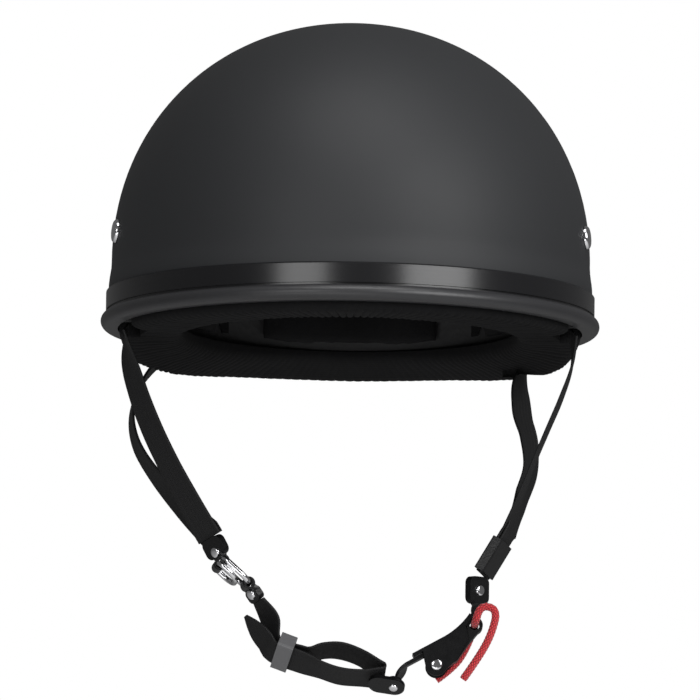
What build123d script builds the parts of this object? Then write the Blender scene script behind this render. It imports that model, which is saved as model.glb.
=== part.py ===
from build123d import *
import os
from math import atan2, cos, degrees, pi, radians, sin, tan

os.makedirs("parts", exist_ok=True)

# Half shell helmet, in millimetres. The face looks towards -Y, the crown is at +Z, the wearer's
# left is at +X, and the rim lies in the plane Z = 0 with the head opening's middle at the origin.

# Shell
shell_width = 236.6
shell_length = 286.0
shell_wall = 3.5
crown_height = 151.0
waist_height = 34.0
waist_draw = 1.3
shell_edge = 3.0
fullness_share = 0.573

# Edge trim: a channel over the shell's cut edge, with an upper leg, a groove and a rolled bead
trim_wall = 1.2
trim_height = 18.5
trim_inner_height = 12.0
trim_lip = 0.8
bead_height = 7.4
bead_proud = 3.7
groove_height = 1.1
groove_floor = 0.4

# Foam liner and the padded roll under its edge
liner_gap = 0.4
foam_wall = 25.0
foam_edge = 2.5
roll_drop = 14.5
roll_front_drop = 5.0
roll_nape_drop = 9.5
roll_slope = 12.0
roll_gap = 0.3
roll_round = 3.4
roll_width = 31.0

# Comfort pads
pad_gap = 0.5
pad_thickness = 7.5
pad_edge_thickness = 2.2
pad_floor = 4.0
side_pad_top = 52.0
brow_pad_top = 46.0
nape_pad_top = 42.0
crown_pad_radius = 46.0
crown_pad_thickness = 8.0
crown_channel = 2.2

# Webbing
webbing_width = 16.0
webbing_thickness = 1.4
lane_gap = 0.3
lane_share = 1.5
strap_inset = 7.0
hinge_height = -1.5
root_gap = 5.0
root_top = 50.0
root_turn = 5.0
pocket_margin = 3.0
roll_room = 10.5
pocket_depth = 13.0
front_exit_angle = -11.5
rear_exit_angle = 35.8

# Rivets
shell_rivet_height = 45.0
shell_rivet_radius = 5.8
shell_rivet_dome = 2.3
shell_rivet_shank = 2.2
shell_rivet_stand = 0.15
tab_rivet_radius = 2.7
tab_rivet_dome = 1.2
tab_rivet_shank = 1.2
washer_radius = 5.0
washer_thickness = 1.0
washer_stand = 0.6
clinch_radius = 3.4
clinch_thickness = 1.2
hole_clearance = 0.1

# Harness places, seen from the front, in the upright plane through the harness
harness_depth = 4.0
junction_across = 63.0
junction_drop = 108.1
junction_heading = -62.0
junction_twist = -45.0
ring_heading = -42.0
ring_twist = -8.0
link_heading = -55.0
link_twist = -35.0
slider_across = 30.0
slider_drop = 157.0
slider_heading = -20.0
slider_twist = -36.0
loop_twist = -26.0
loop_end_across = 17.0
loop_end_drop = 167.3
loop_end_heading = -8.0
tongue_rivet_across = 24.2
tongue_rivet_drop = 169.3
tail_tip_across = 48.5
tail_tip_drop = 138.0
pin_across = 44.5
pin_drop = 162.6
buckle_heading = 29.0
keeper_across = 71.8
keeper_drop = 108.6
keeper_heading = -120.5
keeper_twist = 18.0
buckle_tab_twist = 45.0

# Riveted tabs, rings and slider
tab_thickness = 3.6
tab_width = 13.0
junction_tab_above = 7.5
junction_tab_below = 2.6
fold_wall = 1.1
fold_width = 10.0
fold_clearance = 0.25
ring_wire = 2.8
ring_width = 18.0
ring_length = 16.6
ring_corner = 2.6
ring_round = 6.0
flip_ring_length = 11.0
flip_ring_lift = 3.3
link_rivet_reach = 5.2
link_tab_reach = 9.4
link_tab_width = 9.0
slider_length = 8.0
slider_wall = 1.4
slider_clearance = 0.35
slider_travel = 5.0
centre_bar = 1.8
loop_straight = 9.5

# Chin loop: rises of the upper run and falls of the lower run from the line between slider and tab
upper_rise = 6.4
lower_fall = 3.0

# Latch tongue and tongue tab
tongue_tab_length = 18.0
tongue_tab_width = 11.0
tongue_tab_thickness = 2.0
tongue_thickness = 1.8
tongue_width = 11.5
tongue_eye_radius = 4.0
tongue_height = 7.4
tongue_root = 12.5
tongue_reach = 12.0
tongue_lead = 3.0
window_start = 6.2
window_length = 4.6
window_width = 6.0

# Buckle, measured from its pin along and square to the way the tongue goes in
buckle_width = 17.0
buckle_wall = 1.3
base_plate = 1.4
base_height = 10.4
base_lip = 7.8
base_bend_start = 10.0
base_middle = 19.5
base_middle_height = 11.9
base_end = 26.2
base_end_height = 14.6
strap_bar_reach = 30.4
strap_bar_height = 14.8
strap_bar_radius = 1.6
ear_radius = 5.4
pin_radius = 2.0
pin_clearance = 0.06
pin_head_radius = 2.8
pin_head_dome = 1.1

# Release lever
lever_eye_radius = 4.1
lever_side_gap = 0.35
tooth_start = 7.2
tooth_end = 9.6
tooth_height = 6.0
lever_top = 4.4
lever_end = 25.6
lever_end_height = 8.4
lever_eye_boss = 4.0
cord_hole_radius = 2.45
spring_thickness = 0.6
spring_width = 6.0

# Pull cord
cord_diameter = 3.9

# Strap bows, in the order of the photograph's outlines
right_front_bow = -7.0
right_rear_bow = -27.0
left_front_bow = 7.0
left_rear_bow = 15.0
keeper_length = 18.0
keeper_wall = 0.9
keeper_clearance = 0.32
keeper_straight = 24.0
keeper_below = 10.5
keeper_low = 0.8
buckle_rivet_rise = 9.5
buckle_tab_above = 6.8
buckle_tab_width = 13.0

cut_overrun = 2.0

rim_radius = shell_width / 2
half_length = shell_length / 2
plan_stretch = shell_length / shell_width
foam_inset = shell_wall + liner_gap
foam_inner_inset = foam_inset + foam_wall
pad_inset = foam_inner_inset + pad_gap
half_web = webbing_thickness / 2
strap_lane = half_web + lane_gap / 2
fold_bore = ring_wire / 2 + fold_clearance
slider_lane = centre_bar / 2 + slider_clearance + half_web


def dome_point(inset, share):
    """Point of the dome's half section, from the waist at share 0 to the crown at share 1."""
    waist = rim_radius - inset - waist_draw
    rise = crown_height - inset - waist_height
    rest = 1 - share
    across = waist * (rest**3 + 3 * rest**2 * share + 3 * rest * share**2 * fullness_share)
    up = rise * (3 * rest**2 * share * fullness_share + 3 * rest * share**2 + share**3)
    return across, waist_height + up


def dome_share(inset, height):
    """Share of the dome's curve at which it reaches a height, found by halving."""
    low = 0.0
    high = 1.0
    for _ in range(40):
        middle = (low + high) / 2
        if dome_point(inset, middle)[1] < height:
            low = middle
        else:
            high = middle
    return low


def dome_radius(inset, height):
    """Radius of the round dome at a height, before it is stretched to its oval plan."""
    if height <= waist_height:
        return rim_radius - inset - waist_draw
    return dome_point(inset, dome_share(inset, height))[0]


def dome_face(inset, floor, mode=Mode.ADD):
    """Half section of everything inside a depth under the dome's outer surface."""
    wide = rim_radius - inset
    waist = wide - waist_draw
    top = crown_height - inset
    handle = waist_height + fullness_share * (top - waist_height)
    draw_middle = (trim_height + waist_height) / 2
    with BuildLine() as outline:
        Polyline((0, floor), (wide, floor), (wide, trim_height))
        Bezier((wide, trim_height), (wide, draw_middle), (waist, draw_middle), (waist, waist_height))
        Bezier((waist, waist_height), (waist, handle), (fullness_share * waist, top), (0, top))
        Line((0, top), (0, floor))
    make_face(outline.edges(), mode=mode)


def rim_normal(side, angle):
    """Level direction square to the rim's oval, outwards."""
    across = side * cos(radians(angle)) / rim_radius
    along = sin(radians(angle)) / half_length
    return Vector(across, along, 0).normalized()


def rim_point(side, angle, inset, height):
    """Point at a depth inside the rim's oval, square to it."""
    edge = Vector(side * rim_radius * cos(radians(angle)), half_length * sin(radians(angle)), height)
    return edge - rim_normal(side, angle) * inset


def anchor_plane(side, angle, inset, height):
    """Plane with X along the rim, Y up and Z outwards."""
    outward = rim_normal(side, angle)
    return Plane(
        origin=rim_point(side, angle, inset, height),
        x_dir=Vector(0, 0, 1).cross(outward),
        z_dir=outward,
    )


def rivet_plane(side, angle):
    """Plane on the shell's outer surface at a rivet, with Z along the surface's normal."""
    step = waist_draw
    below = dome_radius(0, shell_rivet_height - step)
    above = dome_radius(0, shell_rivet_height + step)
    lean = (below - above) / (2 * step)
    inset = rim_radius - dome_radius(0, shell_rivet_height)
    outward = (rim_normal(side, angle) + Vector(0, 0, lean)).normalized()
    level = Vector(0, 0, 1).cross(outward)
    return Plane(origin=rim_point(side, angle, inset, shell_rivet_height), x_dir=level, z_dir=outward)


def heading(angle):
    """Level-to-steep direction in the upright plane seen from the front, in degrees from +X."""
    return Vector(cos(radians(angle)), 0, sin(radians(angle)))


def turned_width(along, twist):
    """Direction of a ribbon's width: as near to the Y axis as it can lie, then turned by a twist."""
    level = (Vector(0, 1, 0) - along * along.Y).normalized()
    return level * cos(radians(twist)) + along.cross(level) * sin(radians(twist))


def section_plane(point, along, twist):
    """Plane across a ribbon, with X along its width and Z the way it runs."""
    return Plane(origin=point, x_dir=turned_width(along, twist), z_dir=along)


def flat_plane(point, along, twist):
    """Plane of a ribbon's face, with X the way it runs and Y along its width."""
    return Plane(origin=point, x_dir=along, z_dir=along.cross(turned_width(along, twist)))


def front_place(across, drop):
    """Point in the harness's upright plane."""
    return Vector(across, harness_depth, -drop)


def ribbon_section(plane, lane=0, width=webbing_width, thickness=webbing_thickness):
    """One section of a ribbon, moved square to its face by a lane."""
    with BuildSketch(plane) as section:
        with Locations((0, lane)):
            Rectangle(width, thickness)
    return section.sketch


def strap_path(start, end, bow, late, share):
    """Point of a slack strap, which bows sideways between its two ends."""
    return start + (end - start) * share + Vector(bow * sin(pi * share**late), 0, 0)


def lay_strap(start, end, bow, late, twists, end_along, lane, straight):
    """A strap as one ribbon: lofted down to its straight end, which is extruded."""
    stations = len(twists) - 1
    bend_end = end - end_along * straight
    sections = []
    for number, twist in enumerate(twists):
        share = number / stations
        point = strap_path(start, bend_end, bow, late, share)
        before = strap_path(start, bend_end, bow, late, max(share - 0.5 / stations, 0))
        after = strap_path(start, bend_end, bow, late, min(share + 0.5 / stations, 1))
        along = end_along if number == stations else (after - before).normalized()
        sections.append(ribbon_section(section_plane(point, along, twist), lane * min(lane_share * share, 1)))
    loft(sections)
    extrude(sections[-1], amount=straight)


def lay_ribbon(points, alongs, twists, lanes, widths, thickness=webbing_thickness):
    """A ribbon lofted through a section at each point."""
    loft([
        ribbon_section(section_plane(point, along, twist), lane, width, thickness)
        for point, along, twist, lane, width in zip(points, alongs, twists, lanes, widths)
    ])


def rivet(plane, shank, length, radius, dome, clinch=0, clinch_height=0):
    """A domed rivet whose head sits on the plane, with its shank going the other way."""
    with BuildSketch(Plane(origin=plane.origin, x_dir=plane.x_dir, z_dir=-plane.y_dir)) as profile:
        with BuildLine():
            Polyline((0, -length), (shank, -length), (shank, 0), (radius, 0))
            Bezier((radius, 0), (radius, dome), (radius * fullness_share, dome), (0, dome))
            Line((0, dome), (0, -length))
        make_face()
        if clinch:
            with BuildLine():
                Polyline(
                    (0, -length), (clinch, -length), (clinch, -length - clinch_height),
                    (0, -length - clinch_height), close=True,
                )
            make_face()
    revolve(profile.sketch, axis=Axis(plane.origin, plane.z_dir))


# Hinge line of each half of the harness, through its two strap exits
front_exit_right = rim_point(-1, front_exit_angle, strap_inset, hinge_height)
rear_exit_right = rim_point(-1, rear_exit_angle, strap_inset, hinge_height)
front_exit_left = rim_point(1, front_exit_angle, strap_inset, hinge_height)
rear_exit_left = rim_point(1, rear_exit_angle, strap_inset, hinge_height)
hinge_line = (rear_exit_right - front_exit_right).normalized()
hinge_twist = degrees(atan2(hinge_line.X, hinge_line.Y))

exits = [(-1, front_exit_angle), (-1, rear_exit_angle), (1, front_exit_angle), (1, rear_exit_angle)]

# Shell
with BuildPart() as shell:
    with BuildSketch(Plane.XZ):
        dome_face(0, shell_edge)
        dome_face(shell_wall, shell_edge, Mode.SUBTRACT)
    revolve(axis=Axis.Z)
    scale(by=(1, plan_stretch, 1))
    with Locations(*[rivet_plane(side, angle) for side, angle in exits]):
        Cylinder(shell_rivet_shank + hole_clearance, 4 * shell_wall, mode=Mode.SUBTRACT)
shell.part.label = "shell"
export_step(shell.part, "parts/shell.step")

# Edge trim
with BuildPart() as edge_trim:
    with BuildSketch(Plane.XZ):
        inner = rim_radius - shell_wall
        groove = rim_radius + groove_floor
        groove_top = bead_height + groove_height
        with BuildLine():
            Line((inner - trim_wall, 0), (groove, 0))
            ThreePointArc((groove, 0), (rim_radius + bead_proud, bead_height / 2), (groove, bead_height))
            Polyline(
                (groove, bead_height),
                (groove, groove_top),
                (rim_radius + trim_wall, groove_top),
                (rim_radius + trim_wall, trim_height - trim_lip),
                (rim_radius, trim_height),
                (rim_radius, shell_edge),
                (inner, shell_edge),
                (inner, trim_inner_height),
                (inner - trim_wall, trim_inner_height),
                (inner - trim_wall, 0),
            )
        make_face()
    revolve(axis=Axis.Z)
    scale(by=(1, plan_stretch, 1))
edge_trim.part.label = "edge_trim"
export_step(edge_trim.part, "parts/edge_trim.step")

# Foam liner, stepped in behind the trim's inner leg and relieved for the four strap ends
with BuildPart() as impact_liner:
    with BuildSketch(Plane.XZ):
        dome_face(foam_inset, foam_edge)
        dome_face(foam_inner_inset, foam_edge, Mode.SUBTRACT)
        step_top = trim_inner_height + liner_gap
        with Locations((rim_radius, step_top)):
            Rectangle(
                2 * (shell_wall + trim_wall + liner_gap), 2 * step_top, align=(Align.CENTER, Align.MAX),
                mode=Mode.SUBTRACT,
            )
    revolve(axis=Axis.Z)
    scale(by=(1, plan_stretch, 1))
    with Locations(*[anchor_plane(side, angle, 0, 0) for side, angle in exits]):
        Box(
            webbing_width + 2 * pocket_margin, 2 * (root_top + pocket_margin), 2 * pocket_depth,
            mode=Mode.SUBTRACT,
        )
impact_liner.part.label = "impact_liner"
export_step(impact_liner.part, "parts/impact_liner.step")

# Padded roll under the foam's edge, notched where the straps come out
with BuildPart() as rim_roll:
    with BuildSketch(Plane.XZ):
        roll_outer = rim_radius - shell_wall - trim_wall - liner_gap
        roll_top = foam_edge - roll_gap
        with BuildLine():
            Polyline(
                (roll_outer - roll_round, -roll_drop), (roll_outer - roll_width + roll_round, -roll_drop)
            )
            RadiusArc(
                (roll_outer - roll_width + roll_round, -roll_drop),
                (roll_outer - roll_width, roll_round - roll_drop), roll_round,
            )
            Polyline(
                (roll_outer - roll_width, roll_round - roll_drop), (roll_outer - roll_width, roll_top),
                (roll_outer, roll_top), (roll_outer, roll_round - roll_drop),
            )
            RadiusArc(
                (roll_outer, roll_round - roll_drop), (roll_outer - roll_round, -roll_drop), roll_round
            )
        make_face()
    revolve(axis=Axis.Z)
    scale(by=(1, plan_stretch, 1))
    with BuildSketch(Plane.YZ):
        ear = rear_exit_left.Y
        pocket_half = webbing_width / 2 + pocket_margin
        with BuildLine():
            Polyline(
                (-half_length * 1.1, -roll_front_drop), (ear + pocket_half, -roll_front_drop),
                (ear + pocket_half + roll_slope, -roll_drop), (half_length * 1.1, -roll_nape_drop),
                (half_length * 1.1, -2 * roll_drop), (-half_length * 1.1, -2 * roll_drop),
                (-half_length * 1.1, -roll_front_drop),
            )
        make_face()
    extrude(amount=shell_width, both=True, mode=Mode.SUBTRACT)
    with Locations(*[anchor_plane(side, angle, 0, 0) for side, angle in exits]):
        Box(
            webbing_width + 2 * roll_room, 4 * roll_drop,
            2 * (strap_inset + root_turn + 2 * pocket_margin),
            mode=Mode.SUBTRACT,
        )
rim_roll.part.label = "rim_roll"
export_step(rim_roll.part, "parts/rim_roll.step")


def sew_pad(middle_angle, half_angle, top, swell_shares):
    """A pad on the foam's inner face: crowned, drawn in at its ends, with channels between swells."""
    height_shares = [0, 0.25, 0.5, 0.75, 1]
    crown_shares = [0.25, 0.9, 1, 0.9, 0.25]
    last = len(swell_shares) - 1
    sections = []
    for number, swell in enumerate(swell_shares):
        turn = middle_angle - half_angle + 2 * half_angle * number / last
        with BuildSketch(Plane.XZ.rotated((0, 0, turn))) as section:
            back = []
            front = []
            for level, crown in zip(height_shares, crown_shares):
                height = pad_floor + (top - pad_floor) * level
                radius = dome_radius(pad_inset, height)
                thick = pad_edge_thickness + (pad_thickness - pad_edge_thickness) * crown * swell
                back.append((radius, height))
                front.append((radius - thick, height))
            with BuildLine():
                Spline(*back)
                Line(back[-1], front[-1])
                Spline(*reversed(front))
                Line(front[0], back[0])
            make_face()
        sections.append(section.sketch)
    loft(sections)
    scale(by=(1, plan_stretch, 1))


side_swell_shares = [0, 0.9, 1, 0.35, 1, 1, 0.35, 1, 0.9, 0]
brow_swell_shares = [0, 0.9, 1, 0.4, 1, 0.4, 1, 0.9, 0]
nape_swell_shares = [0, 0.9, 1, 0.4, 1, 0.9, 0]

with BuildPart() as brow_pad:
    sew_pad(-90, 38, brow_pad_top, brow_swell_shares)
brow_pad.part.label = "brow_pad"
export_step(brow_pad.part, "parts/brow_pad.step")

with BuildPart() as left_side_pad:
    sew_pad(5, 42, side_pad_top, side_swell_shares)
left_side_pad.part.label = "left_side_pad"
export_step(left_side_pad.part, "parts/left_side_pad.step")

with BuildPart() as right_side_pad:
    sew_pad(175, 42, side_pad_top, side_swell_shares)
right_side_pad.part.label = "right_side_pad"
export_step(right_side_pad.part, "parts/right_side_pad.step")

with BuildPart() as nape_pad:
    sew_pad(90, 34, nape_pad_top, nape_swell_shares)
nape_pad.part.label = "nape_pad"
export_step(nape_pad.part, "parts/nape_pad.step")

# Crown pad: a dished round pad with a ring channel
with BuildPart() as crown_pad:
    with BuildSketch(Plane.XZ):
        rim_share = 1
        while dome_point(pad_inset, rim_share)[0] < crown_pad_radius:
            rim_share -= 0.01
        back = [dome_point(pad_inset, 1 - (1 - rim_share) * level) for level in (0, 0.35, 0.7, 1)]
        front_shares = [(0, 1), (0.3, 1), (0.52, 0.95), (0.62, 0.62), (0.72, 0.95), (0.9, 0.8)]
        front = []
        for level, thick in front_shares:
            across, up = dome_point(pad_inset, 1 - (1 - rim_share) * level)
            front.append((across, up - crown_pad_thickness * thick))
        with BuildLine():
            Spline(*back)
            Spline(*front)
            Line(back[0], front[0])
            Line(back[-1], front[-1])
        make_face()
    revolve(axis=Axis.Z)
    scale(by=(1, plan_stretch, 1))
crown_pad.part.label = "crown_pad"
export_step(crown_pad.part, "parts/crown_pad.step")

# Shell rivets, their washers and the webbing ends between shell and foam
with BuildPart() as shell_rivets:
    for side, angle in exits:
        face = rivet_plane(side, angle)
        seat = Plane(
            origin=face.origin + face.z_dir * shell_rivet_stand, x_dir=face.x_dir, z_dir=face.z_dir
        )
        root_depth = strap_inset - rim_radius + dome_radius(0, shell_rivet_height)
        reach = shell_rivet_stand + root_depth + half_web + washer_stand + washer_thickness
        rivet(
            seat, shell_rivet_shank, reach, shell_rivet_radius, shell_rivet_dome, clinch_radius,
            clinch_thickness,
        )
shell_rivets.part.label = "shell_rivets"
export_step(shell_rivets.part, "parts/shell_rivets.step")

with BuildPart() as rivet_washers:
    for side, angle in exits:
        face = rivet_plane(side, angle)
        root_depth = strap_inset - rim_radius + dome_radius(0, shell_rivet_height)
        depth = root_depth + half_web + washer_stand
        with BuildSketch(Plane(origin=face.origin - face.z_dir * depth, x_dir=face.x_dir, z_dir=-face.z_dir)):
            Circle(washer_radius)
            Circle(shell_rivet_shank + hole_clearance, mode=Mode.SUBTRACT)
        extrude(amount=washer_thickness)
rivet_washers.part.label = "rivet_washers"
export_step(rivet_washers.part, "parts/rivet_washers.step")

with BuildPart() as strap_roots:
    root_bottom = hinge_height + root_gap
    for side, angle in exits:
        with BuildSketch(anchor_plane(side, angle, strap_inset, (root_top + root_bottom) / 2)):
            Rectangle(webbing_width, root_top - root_bottom)
        extrude(amount=half_web, both=True)
    with Locations(*[rivet_plane(side, angle) for side, angle in exits]):
        Cylinder(shell_rivet_shank + washer_stand, 4 * strap_inset, mode=Mode.SUBTRACT)
strap_roots.part.label = "strap_roots"
export_step(strap_roots.part, "parts/strap_roots.step")

# Right half of the harness
junction = front_place(-junction_across, junction_drop)
junction_along = heading(junction_heading)
strap_end = junction - junction_along * (junction_tab_above + lane_gap)

front_twists_right = [hinge_twist, -30, -45, -48, -48, -46, junction_twist]
rear_twists_right = [hinge_twist, 0, -12, -20, -28, -36, junction_twist]

with BuildPart() as right_front_strap:
    lay_strap(
        front_exit_right, strap_end, right_front_bow, 0.8, front_twists_right, junction_along, -strap_lane,
        webbing_thickness,
    )
right_front_strap.part.label = "right_front_strap"
export_step(right_front_strap.part, "parts/right_front_strap.step")

with BuildPart() as right_rear_strap:
    lay_strap(
        rear_exit_right, strap_end, right_rear_bow, 0.9, rear_twists_right, junction_along, strap_lane,
        webbing_thickness,
    )
right_rear_strap.part.label = "right_rear_strap"
export_step(right_rear_strap.part, "parts/right_rear_strap.step")


def fold_tab(rivet_point, along, twist, above, below, width, fold_point, fold_twist, bore, lift=Vector()):
    """A riveted patch whose lower end is folded round one bar, or two that lie a lift apart."""
    with BuildSketch(flat_plane(rivet_point, along, twist)) as plate:
        with Locations(((below - above) / 2, 0)):
            RectangleRounded(above + below, width, width / 4)
    extrude(plate.sketch, amount=tab_thickness / 2, both=True)
    neck = tab_thickness - fold_clearance
    neck_start = rivet_point + along * (below - tab_thickness / 2)
    fold_along = (fold_point - rivet_point).normalized()
    loft([
        ribbon_section(section_plane(neck_start, along, twist), 0, fold_width - fold_wall, neck),
        ribbon_section(section_plane(fold_point, fold_along, fold_twist), 0, fold_width - fold_wall, neck),
    ])
    across = Plane(origin=fold_point, x_dir=fold_along, z_dir=turned_width(fold_along, fold_twist))
    second = across.to_local_coords(fold_point + lift)
    slant = degrees(atan2(second.Y, second.X))
    with BuildSketch(across) as fold:
        Circle(bore + fold_wall)
        if lift.length:
            with Locations((second.X / 2, second.Y / 2)):
                SlotCenterToCenter(lift.length, 2 * (bore + fold_wall), rotation=slant)
    extrude(fold.sketch, amount=fold_width / 2, both=True)
    with BuildSketch(across) as bar_hole:
        Circle(bore)
        if lift.length:
            with Locations((second.X / 2, second.Y / 2)):
                SlotCenterToCenter(lift.length, 2 * bore, rotation=slant)
    extrude(bar_hole.sketch, amount=fold_width / 2 + fold_wall, both=True, mode=Mode.SUBTRACT)


def bend_ring(point, along, twist, length):
    """A round wire ring with a straight bar at the point and a wide round end."""
    half_ring = ring_width / 2
    with BuildLine(flat_plane(point, along, twist)) as path:
        FilletPolyline(
            (0, -half_ring), (0, half_ring), (length, half_ring), (length, -half_ring),
            radius=(ring_corner, ring_corner, min(ring_round, length * 0.7), min(ring_round, length * 0.7)),
            close=True,
        )
    with BuildSketch(Plane(origin=path.line @ 0, z_dir=path.line % 0)) as wire:
        Circle(ring_wire / 2)
    sweep(wire.sketch, path=path.line)


ring_along = heading(ring_heading)
ring_bar = junction + junction_along * (junction_tab_below + fold_bore + fold_wall)
ring_far = ring_bar + ring_along * ring_length
ring_lift = turned_width(ring_along, ring_twist).cross(ring_along) * flip_ring_lift

with BuildPart() as junction_tab:
    fold_tab(
        junction, junction_along, junction_twist, junction_tab_above, junction_tab_below, tab_width,
        ring_bar, ring_twist, fold_bore, ring_lift,
    )
junction_tab.part.label = "junction_tab"
export_step(junction_tab.part, "parts/junction_tab.step")

with BuildPart() as link_ring:
    bend_ring(ring_bar, ring_along, ring_twist, ring_length)
link_ring.part.label = "link_ring"
export_step(link_ring.part, "parts/link_ring.step")

with BuildPart() as flip_ring:
    bend_ring(ring_bar + ring_lift, ring_along, ring_twist, flip_ring_length)
flip_ring.part.label = "flip_ring"
export_step(flip_ring.part, "parts/flip_ring.step")

link_along = heading(link_heading)
link_rivet_place = ring_far + link_along * link_rivet_reach
link_end = ring_far + link_along * link_tab_reach

with BuildPart() as link_tab:
    fold_tab(
        link_rivet_place, -link_along, -link_twist, link_tab_reach - link_rivet_reach,
        link_rivet_reach - fold_bore - fold_wall, link_tab_width, ring_far, -ring_twist,
        fold_bore + 1.6 * fold_clearance,
    )
link_tab.part.label = "link_tab"
export_step(link_tab.part, "parts/link_tab.step")

# Chin loop: down through the slider, out to the tongue tab, back through the slider to its tail
slider_place = front_place(-slider_across, slider_drop)
slider_along = heading(slider_heading)
slider_start = slider_place - slider_along * slider_length * 0.6
slider_out = slider_place + slider_along * loop_straight
loop_end = front_place(loop_end_across, loop_end_drop)
loop_along = heading(loop_end_heading)
tail_tip = front_place(-tail_tip_across, tail_tip_drop)
loop_span = loop_end - slider_out
rise_shares = [0, 0.72, 1, 0.7, 0]
fall_shares = [0, 0.6, 1, 0.6, 0]
loop_shares = [0, 0.25, 0.5, 0.78, 1]


def run_points(height, height_shares):
    """Points of one run of the chin loop, bowed up or down from the straight line."""
    return [
        slider_out + loop_span * share + Vector(0, 0, height * bow)
        for share, bow in zip(loop_shares, height_shares)
    ]


def run_alongs(points, first, last):
    """Directions through a row of points, with the two end directions given."""
    middle = [(points[n + 1] - points[n - 1]).normalized() for n in range(1, len(points) - 1)]
    return [first, *middle, last]


with BuildPart() as chin_web:
    with BuildSketch(section_plane(slider_start, slider_along, slider_twist)) as lanes:
        with Locations((0, slider_lane), (0, -slider_lane)):
            Rectangle(webbing_width, webbing_thickness)
    extrude(amount=(slider_out - slider_start).length)
    run_twists = [slider_twist, loop_twist, loop_twist, loop_twist, slider_twist]
    upper = run_points(upper_rise, rise_shares)
    lower = run_points(-lower_fall, fall_shares)
    for points, lane in ((upper, slider_lane), (lower, -slider_lane)):
        lay_ribbon(
            points, run_alongs(points, slider_along, loop_along), run_twists, [lane] * 5,
            [webbing_width] * 5,
        )
    fold_axis = turned_width(loop_along, slider_twist)
    with BuildSketch(Plane(origin=loop_end, x_dir=loop_along, z_dir=fold_axis)):
        Circle(slider_lane + half_web)
        Circle(slider_lane - half_web, mode=Mode.SUBTRACT)
        with Locations((-webbing_width, 0)):
            Rectangle(2 * webbing_width, webbing_width, mode=Mode.SUBTRACT)
    extrude(amount=webbing_width / 2, both=True)
    bend = (link_end + slider_start) / 2 + heading(link_heading + 90) * webbing_thickness
    upstream = [link_end, bend, slider_start]
    lay_ribbon(
        upstream, run_alongs(upstream, link_along, slider_along), [link_twist, slider_twist, slider_twist],
        [0, slider_lane, slider_lane], [link_tab_width, webbing_width, webbing_width],
    )
    tail = [slider_start, (slider_start * 0.45 + tail_tip * 0.55), tail_tip]
    lay_ribbon(
        tail, run_alongs(tail, -slider_along, (tail_tip - slider_start).normalized()),
        [-slider_twist] * 3, [slider_lane] * 3, [webbing_width, webbing_width * 0.9, webbing_thickness],
    )
chin_web.part.label = "chin_web"
export_step(chin_web.part, "parts/chin_web.step")

with BuildPart() as slider:
    slot_width = webbing_width + 2 * slider_clearance
    slot_height = webbing_thickness + 2 * slider_clearance
    with BuildSketch(section_plane(slider_place - slider_along * slider_length / 2, slider_along, slider_twist)):
        RectangleRounded(
            slot_width + 2 * slider_wall, centre_bar + 2 * slot_height + 2 * slider_wall, slider_wall
        )
        with Locations((0, slider_lane), (0, -slider_lane)):
            Rectangle(slot_width, slot_height, mode=Mode.SUBTRACT)
    extrude(amount=slider_length)
slider.part.label = "slider"
export_step(slider.part, "parts/slider.step")

# Tongue tab in front of the loop's end, and the twisted steel tongue behind it
tongue_rivet_place = front_place(tongue_rivet_across, tongue_rivet_drop)
tab_normal = loop_along.cross(turned_width(loop_along, slider_twist))
tab_back = slider_lane + half_web + 3 * lane_gap
tongue_tab_place = tongue_rivet_place - tab_normal * (tab_back + tongue_tab_thickness / 2)
tongue_eye_place = tongue_rivet_place - tab_normal * (tab_back - lane_gap - tongue_thickness / 2)

with BuildPart() as tongue_tab:
    with BuildSketch(flat_plane(tongue_tab_place, loop_along, slider_twist)):
        with Locations((tongue_tab_width / 2 - tongue_tab_length / 2, 0)):
            SlotOverall(tongue_tab_length, tongue_tab_width)
    extrude(amount=tongue_tab_thickness / 2, both=True)
tongue_tab.part.label = "tongue_tab"
export_step(tongue_tab.part, "parts/tongue_tab.step")

buckle_along = heading(buckle_heading)
pin_place = front_place(pin_across, pin_drop)
buckle_up = heading(buckle_heading + 90)
tongue_start = pin_place - buckle_along * tongue_root + buckle_up * tongue_height

with BuildPart() as latch_tongue:
    neck_along = (tongue_start - tongue_eye_place).normalized()
    with BuildSketch(flat_plane(tongue_eye_place, loop_along, slider_twist)):
        Circle(tongue_eye_radius)
    extrude(amount=tongue_thickness / 2, both=True)
    lay_ribbon(
        [tongue_eye_place, (tongue_eye_place + tongue_start) / 2, tongue_start],
        [loop_along, neck_along, buckle_along], [slider_twist, slider_twist / 2, 0], [0, 0, 0],
        [tongue_eye_radius, (tongue_eye_radius + tongue_width) / 2, tongue_width], tongue_thickness,
    )
    with BuildSketch(flat_plane(tongue_start, buckle_along, 0)):
        half_tongue = tongue_width / 2
        full = tongue_root + tongue_reach
        with BuildLine():
            Polyline(
                (0, -half_tongue), (full - tongue_lead, -half_tongue), (full, tongue_lead - half_tongue),
                (full, half_tongue - tongue_lead), (full - tongue_lead, half_tongue), (0, half_tongue),
                close=True,
            )
        make_face()
        with Locations((tongue_root + window_start + window_length / 2, 0)):
            RectangleRounded(window_length, window_width, tongue_thickness / 2, mode=Mode.SUBTRACT)
    extrude(amount=tongue_thickness / 2, both=True)
latch_tongue.part.label = "latch_tongue"
export_step(latch_tongue.part, "parts/latch_tongue.step")

# Buckle frame: curved base plate with a lip, two side walls with ears, and the strap bar
side_plane = Plane(origin=pin_place, x_dir=buckle_along, z_dir=(0, -1, 0))
wall_shares = [(0.84, 0.30), (0.93, 0.66), (1.0, 1.0)]


def base_curve(height):
    """The base plate's run: straight at the mouth, bending up to the strap end."""
    Line((-base_lip, base_height - height), (base_bend_start, base_height - height))
    ThreePointArc(
        (base_bend_start, base_height - height),
        (base_middle, base_middle_height - height),
        (base_end, base_end_height - height),
    )


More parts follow.
